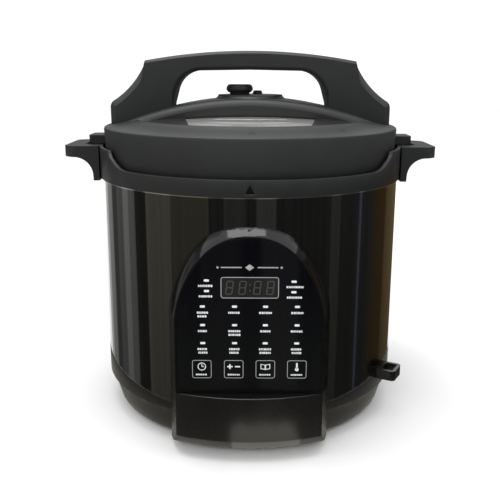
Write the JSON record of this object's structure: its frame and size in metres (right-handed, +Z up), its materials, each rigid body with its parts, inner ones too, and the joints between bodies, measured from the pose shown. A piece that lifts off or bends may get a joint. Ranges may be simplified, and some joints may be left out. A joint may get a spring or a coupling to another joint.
{
  "type": "electric pressure cooker",
  "caption": "Round black electric pressure cooker with a domed twist-lock lid, arched control panel, side handles and a removable steel pot.",
  "frame": {"origin": "on the table, under the middle of the cooker's bounding box", "axes": "+Z up, -Y towards the control panel, +X to the right of someone facing the panel"},
  "size_m": [0.3366, 0.306, 0.321],
  "materials": {
    "gloss_black_steel": "mirror-gloss black coated steel",
    "matte_black_plastic": "fine-grained matte black plastic",
    "satin_black_plastic": "satin black plastic",
    "gloss_black_plastic": "gloss black plastic",
    "panel_overlay": "smoked gloss overlay with printed marks",
    "stainless": "satin stainless steel",
    "bright_trim": "polished metal",
    "cast_aluminium": "turned cast aluminium",
    "zinc_steel": "zinc-plated steel",
    "silicone": "translucent grey-white silicone",
    "rubber": "black rubber",
    "circuit_board": "green solder-masked board",
    "white_plastic": "white moulded plastic",
    "clear_plastic": "translucent clear plastic",
    "wire_insulation": "silicone wire insulation",
    "brass": "plated brass"
  },
  "bodies": {
    "cooker": {"base_shell": "satin_black_plastic", "feet": "rubber", "spacers": "zinc_steel", "base_screws": "zinc_steel", "outer_housing": "gloss_black_steel", "housing_rim": "bright_trim", "collar": "matte_black_plastic", "drain_spout": "matte_black_plastic", "right_handle": "matte_black_plastic", "left_handle": "matte_black_plastic", "handle_screws": "zinc_steel", "heat_shield": "zinc_steel", "pressure_liner": "stainless", "heating_plate": "cast_aluminium", "heating_element": "zinc_steel", "plate_supports": "zinc_steel", "pressure_switch": "white_plastic", "thermal_fuse": "white_plastic", "sensor_guide": "zinc_steel", "sensor_spring": "bright_trim", "power_board": "circuit_board", "transformer": "zinc_steel", "relay": "gloss_black_plastic", "terminal_block": "white_plastic", "power_leads": "wire_insulation", "ribbon_cable": "wire_insulation", "panel_frame": "gloss_black_plastic", "panel_glass": "panel_overlay", "panel_chin": "satin_black_plastic", "control_board": "circuit_board", "board_screws": "zinc_steel", "display_module": "white_plastic", "indicator_leds": "white_plastic", "touch_springs": "bright_trim", "buzzer": "gloss_black_plastic", "power_inlet": "matte_black_plastic", "inlet_pins": "brass", "inlet_screws": "zinc_steel", "condensation_bracket": "matte_black_plastic", "wall_screws": "zinc_steel", "ladle_holder": "satin_black_plastic"},
    "lid_seal": {"sealing_ring": "silicone"},
    "lid": {"lid_cover": "matte_black_plastic", "pressure_lid": "stainless", "lid_screws": "zinc_steel", "lid_fins": "matte_black_plastic", "seal_rack": "bright_trim", "anti_block_shield": "stainless", "steam_pipe": "stainless", "pipe_nut": "zinc_steel", "valve_dish": "matte_black_plastic", "lid_handle": "matte_black_plastic", "grip_pad": "matte_black_plastic", "grip_screws": "zinc_steel"},
    "steam_knob": {"steam_knob": "matte_black_plastic"},
    "float_valve": {"float_valve": "bright_trim", "float_seal": "silicone"},
    "inner_pot": {"inner_pot": "stainless"},
    "thermal_sensor": {"thermal_sensor": "cast_aluminium"},
    "condensation_cup": {"condensation_cup": "clear_plastic"}
  },
  "joints": [
    {"name": "lid_lift", "type": "slide", "parent": "cooker", "child": "lid_seal", "axis": [0, 0, 1], "range_m": [0, 0.36]},
    {"name": "lid_turn", "type": "hinge", "parent": "lid_seal", "child": "lid", "pos_m": [0, 0, 0.22], "axis": [0, 0, 1], "range_deg": [-30, 0]},
    {"name": "steam_knob_turn", "type": "hinge", "parent": "lid", "child": "steam_knob", "pos_m": [-0.0097, 0, 0.286], "axis": [0, 0, 1], "range_deg": [0, 40]},
    {"name": "float_rise", "type": "slide", "parent": "lid", "child": "float_valve", "axis": [0, 0, 1], "range_m": [0, 0.004]},
    {"name": "pot_lift", "type": "slide", "parent": "cooker", "child": "inner_pot", "axis": [0, 0, 1], "range_m": [0, 0.18]},
    {"name": "sensor_press", "type": "slide", "parent": "cooker", "child": "thermal_sensor", "axis": [0, 0, 1], "range_m": [-0.002, 0], "stiffness_N_per_m": 600, "springref_m": 0.002, "deforming": ["sensor_spring"]},
    {"name": "cup_pull", "type": "slide", "parent": "cooker", "child": "condensation_cup", "axis": [0, 1, 0], "range_m": [0, 0.04]}
  ],
  "couplings": [
    {"joint": "pot_lift", "follows": "lid_lift", "ratio": 0.5}
  ]
}
